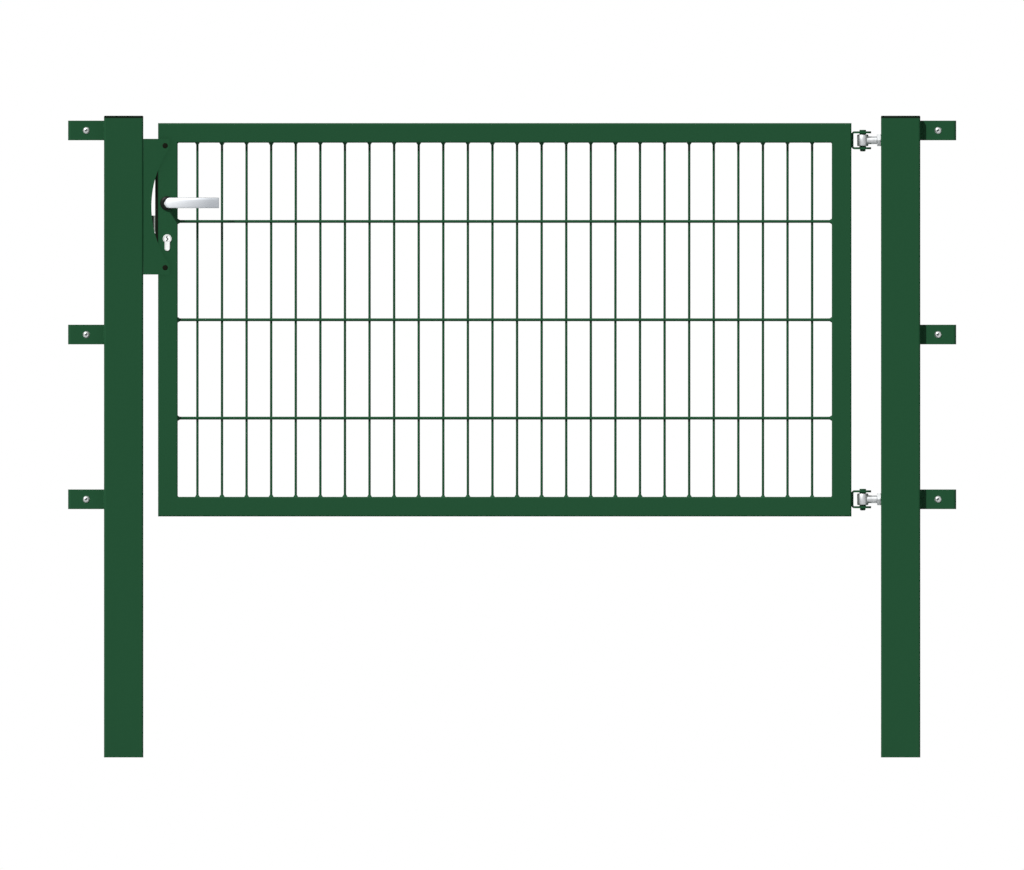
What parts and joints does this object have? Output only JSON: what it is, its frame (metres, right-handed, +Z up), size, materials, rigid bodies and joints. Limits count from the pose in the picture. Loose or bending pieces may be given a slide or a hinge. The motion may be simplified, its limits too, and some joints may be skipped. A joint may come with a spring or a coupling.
{
  "type": "single leaf garden gate with double rod mat infill and two posts",
  "caption": "Framed wire mat gate leaf hung between square posts on eye bolt hinges, with a stop plate, lever handles, a sprung latch, a lock cylinder and fence brackets.",
  "frame": {"origin": "centre of the hinge post's foot, at ground level", "axes": "+X along the fence from the latch post to the hinge post, +Y from the front to the back, +Z up"},
  "size_m": [1.806, 0.134, 1.305],
  "materials": {
    "green_coat": "satin moss green powder coat over galvanised steel",
    "black_plastic": "fine grained black plastic",
    "black_steel": "matt black coat",
    "buffer_rubber": "matt black rubber",
    "zinc_plate": "bright zinc plate",
    "nickel": "satin nickel plate",
    "lever_alloy": "satin anodised"
  },
  "bodies": {
    "posts": {"hinge_post": "green_coat", "latch_post": "green_coat", "hinge_post_cap": "black_plastic", "latch_post_cap": "black_plastic", "hinge_post_top_bracket": "green_coat", "hinge_post_middle_bracket": "green_coat", "hinge_post_bottom_bracket": "green_coat", "latch_post_top_bracket": "green_coat", "latch_post_middle_bracket": "green_coat", "latch_post_bottom_bracket": "green_coat", "hinge_post_clamp_plates": "green_coat", "latch_post_clamp_plates": "green_coat", "hinge_post_clamp_bolts": "zinc_plate", "latch_post_clamp_bolts": "zinc_plate", "top_hinge_eye": "zinc_plate", "bottom_hinge_eye": "zinc_plate", "top_hinge_nuts": "zinc_plate", "bottom_hinge_nuts": "zinc_plate", "stop_plate": "green_coat", "keep": "green_coat", "upper_buffer": "buffer_rubber", "lower_buffer": "buffer_rubber"},
    "leaf": {"latch_stile": "green_coat", "hinge_stile": "green_coat", "top_rail": "green_coat", "bottom_rail": "green_coat", "mat_panel": "green_coat", "top_hinge_bracket": "green_coat", "bottom_hinge_bracket": "green_coat", "top_hinge_pin": "green_coat", "bottom_hinge_pin": "green_coat", "lock_face_plate": "black_steel", "lock_case": "zinc_plate", "lock_cylinder": "nickel", "front_rosette": "black_plastic", "rear_rosette": "black_plastic"},
    "handle": {"front_lever": "lever_alloy", "rear_lever": "lever_alloy", "spindle": "zinc_plate"},
    "latch": {"latch_bolt": "zinc_plate"}
  },
  "joints": [
    {"name": "leaf_swing", "type": "hinge", "parent": "posts", "child": "leaf", "pos_m": [-0.077, -0.012, 0], "axis": [0, 0, -1], "range_deg": [0, 100]},
    {"name": "handle_turn", "type": "hinge", "parent": "leaf", "child": "handle", "pos_m": [-1.4915, -0.012, 1.127], "axis": [0, 1, 0], "range_deg": [0, 40], "stiffness_Nm_per_rad": 1, "springref_deg": -28.65},
    {"name": "latch_slide", "type": "slide", "parent": "leaf", "child": "latch", "axis": [1, 0, 0], "range_m": [0, 0.012]}
  ],
  "couplings": [
    {"joint": "latch_slide", "follows": "handle_turn", "m_per_rad": 0.0171}
  ]
}
